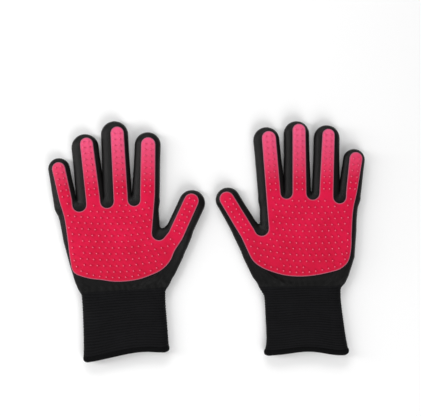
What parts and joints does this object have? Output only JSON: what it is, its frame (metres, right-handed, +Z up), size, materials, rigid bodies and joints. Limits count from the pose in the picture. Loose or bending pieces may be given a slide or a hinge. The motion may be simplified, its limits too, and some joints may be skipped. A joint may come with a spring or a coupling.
{
  "type": "pet grooming glove pair",
  "caption": "Pair of knitted gloves with nubbed silicone palms and fingers, worn to stroke loose hair from a pet, with long ribbed cuffs; the fingers and cuffs fold.",
  "frame": {"origin": "centre of the pair's footprint, on the surface that the backs of the gloves lie on", "axes": "+X from the right-hand glove to the left-hand glove, +Y towards the fingertips, +Z up, out of the palms"},
  "size_m": [0.3288, 0.2493, 0.0175],
  "materials": {
    "hand_knit": "fine black knit with a soft sheen",
    "silicone": "satin moulded silicone, crimson",
    "cuff_rib": "black elastic rib knit",
    "hem_binding": "black overlocked hem"
  },
  "bodies": {
    "right_palm": {"right_palm_knit": "hand_knit", "right_palm_pad": "silicone"},
    "right_cuff": {"right_cuff": "cuff_rib", "right_hem": "hem_binding"},
    "right_little_base": {"right_little_base_knit": "hand_knit", "right_little_base_pad": "silicone"},
    "right_little_tip": {"right_little_tip_knit": "hand_knit", "right_little_tip_pad": "silicone"},
    "right_ring_base": {"right_ring_base_knit": "hand_knit", "right_ring_base_pad": "silicone"},
    "right_ring_tip": {"right_ring_tip_knit": "hand_knit", "right_ring_tip_pad": "silicone"},
    "right_middle_base": {"right_middle_base_knit": "hand_knit", "right_middle_base_pad": "silicone"},
    "right_middle_tip": {"right_middle_tip_knit": "hand_knit", "right_middle_tip_pad": "silicone"},
    "right_index_base": {"right_index_base_knit": "hand_knit", "right_index_base_pad": "silicone"},
    "right_index_tip": {"right_index_tip_knit": "hand_knit", "right_index_tip_pad": "silicone"},
    "right_thumb_base": {"right_thumb_base_knit": "hand_knit", "right_thumb_base_pad": "silicone"},
    "right_thumb_tip": {"right_thumb_tip_knit": "hand_knit", "right_thumb_tip_pad": "silicone"},
    "left_palm": {"left_palm_knit": "hand_knit", "left_palm_pad": "silicone"},
    "left_cuff": {"left_cuff": "cuff_rib", "left_hem": "hem_binding"},
    "left_little_base": {"left_little_base_knit": "hand_knit", "left_little_base_pad": "silicone"},
    "left_little_tip": {"left_little_tip_knit": "hand_knit", "left_little_tip_pad": "silicone"},
    "left_ring_base": {"left_ring_base_knit": "hand_knit", "left_ring_base_pad": "silicone"},
    "left_ring_tip": {"left_ring_tip_knit": "hand_knit", "left_ring_tip_pad": "silicone"},
    "left_middle_base": {"left_middle_base_knit": "hand_knit", "left_middle_base_pad": "silicone"},
    "left_middle_tip": {"left_middle_tip_knit": "hand_knit", "left_middle_tip_pad": "silicone"},
    "left_index_base": {"left_index_base_knit": "hand_knit", "left_index_base_pad": "silicone"},
    "left_index_tip": {"left_index_tip_knit": "hand_knit", "left_index_tip_pad": "silicone"},
    "left_thumb_base": {"left_thumb_base_knit": "hand_knit", "left_thumb_base_pad": "silicone"},
    "left_thumb_tip": {"left_thumb_tip_knit": "hand_knit", "left_thumb_tip_pad": "silicone"}
  },
  "joints": [
    {"name": "right_cuff_fold", "type": "hinge", "parent": "right_palm", "child": "right_cuff", "pos_m": [-0.086, -0.0509, 0.014], "axis": [-0.9981, -0.061, 0], "range_deg": [0, 60]},
    {"name": "right_little_root_fold", "type": "hinge", "parent": "right_palm", "child": "right_little_base", "pos_m": [-0.14722, 0.04254, 0.0152], "axis": [0.9981, 0.061, 0], "range_deg": [0, 60]},
    {"name": "right_little_middle_fold", "type": "hinge", "parent": "right_little_base", "child": "right_little_tip", "pos_m": [-0.15061, 0.06083, 0.0152], "axis": [0.9981, 0.061, 0], "range_deg": [0, 75]},
    {"name": "right_ring_root_fold", "type": "hinge", "parent": "right_palm", "child": "right_ring_base", "pos_m": [-0.12027, 0.04419, 0.0152], "axis": [0.9981, 0.061, 0], "range_deg": [0, 60]},
    {"name": "right_ring_middle_fold", "type": "hinge", "parent": "right_ring_base", "child": "right_ring_tip", "pos_m": [-0.12299, 0.06884, 0.0152], "axis": [0.9981, 0.061, 0], "range_deg": [0, 75]},
    {"name": "right_middle_root_fold", "type": "hinge", "parent": "right_palm", "child": "right_middle_base", "pos_m": [-0.09252, 0.04588, 0.0152], "axis": [0.9981, 0.061, 0], "range_deg": [0, 60]},
    {"name": "right_middle_middle_fold", "type": "hinge", "parent": "right_middle_base", "child": "right_middle_tip", "pos_m": [-0.09393, 0.07685, 0.0152], "axis": [0.9981, 0.061, 0], "range_deg": [0, 75]},
    {"name": "right_index_root_fold", "type": "hinge", "parent": "right_palm", "child": "right_index_base", "pos_m": [-0.06298, 0.04769, 0.0152], "axis": [0.9981, 0.061, 0], "range_deg": [0, 60]},
    {"name": "right_index_middle_fold", "type": "hinge", "parent": "right_index_base", "child": "right_index_tip", "pos_m": [-0.06202, 0.07247, 0.0152], "axis": [0.9981, 0.061, 0], "range_deg": [0, 75]},
    {"name": "right_thumb_root_fold", "type": "hinge", "parent": "right_palm", "child": "right_thumb_base", "pos_m": [-0.03046, 0.0058, 0.0152], "axis": [0.9063, -0.4226, 0], "range_deg": [0, 45]},
    {"name": "right_thumb_middle_fold", "type": "hinge", "parent": "right_thumb_base", "child": "right_thumb_tip", "pos_m": [-0.01998, 0.02827, 0.0152], "axis": [0.9063, -0.4226, 0], "range_deg": [0, 60]},
    {"name": "left_cuff_fold", "type": "hinge", "parent": "left_palm", "child": "left_cuff", "pos_m": [0.0991, -0.0468, 0.014], "axis": [-0.9998, -0.0175, 0], "range_deg": [0, 60]},
    {"name": "left_little_root_fold", "type": "hinge", "parent": "left_palm", "child": "left_little_base", "pos_m": [0.149, 0.05109, 0.0152], "axis": [0.9998, 0.0175, 0], "range_deg": [0, 60]},
    {"name": "left_little_middle_fold", "type": "hinge", "parent": "left_little_base", "child": "left_little_tip", "pos_m": [0.15146, 0.06952, 0.0152], "axis": [0.9998, 0.0175, 0], "range_deg": [0, 75]},
    {"name": "left_ring_root_fold", "type": "hinge", "parent": "left_palm", "child": "left_ring_base", "pos_m": [0.1242, 0.05065, 0.0152], "axis": [0.9998, 0.0175, 0], "range_deg": [0, 60]},
    {"name": "left_ring_middle_fold", "type": "hinge", "parent": "left_ring_base", "child": "left_ring_tip", "pos_m": [0.12455, 0.07545, 0.0152], "axis": [0.9998, 0.0175, 0], "range_deg": [0, 75]},
    {"name": "left_middle_root_fold", "type": "hinge", "parent": "left_palm", "child": "left_middle_base", "pos_m": [0.09441, 0.05013, 0.0152], "axis": [0.9998, 0.0175, 0], "range_deg": [0, 60]},
    {"name": "left_middle_middle_fold", "type": "hinge", "parent": "left_middle_base", "child": "left_middle_tip", "pos_m": [0.09398, 0.08113, 0.0152], "axis": [0.9998, 0.0175, 0], "range_deg": [0, 75]},
    {"name": "left_index_root_fold", "type": "hinge", "parent": "left_palm", "child": "left_index_base", "pos_m": [0.06781, 0.04967, 0.0152], "axis": [0.9998, 0.0175, 0], "range_deg": [0, 60]},
    {"name": "left_index_middle_fold", "type": "hinge", "parent": "left_index_base", "child": "left_index_tip", "pos_m": [0.06535, 0.07435, 0.0152], "axis": [0.9998, 0.0175, 0], "range_deg": [0, 75]},
    {"name": "left_thumb_root_fold", "type": "hinge", "parent": "left_palm", "child": "left_thumb_base", "pos_m": [0.04166, 0.00681, 0.0152], "axis": [0.8616, 0.5075, 0], "range_deg": [0, 45]},
    {"name": "left_thumb_middle_fold", "type": "hinge", "parent": "left_thumb_base", "child": "left_thumb_tip", "pos_m": [0.02907, 0.02817, 0.0152], "axis": [0.8616, 0.5075, 0], "range_deg": [0, 60]},
    {"name": "left_glove_slide", "type": "slide", "parent": "right_palm", "child": "left_palm", "axis": [1, 0, 0], "range_m": [0, 0.12]}
  ]
}
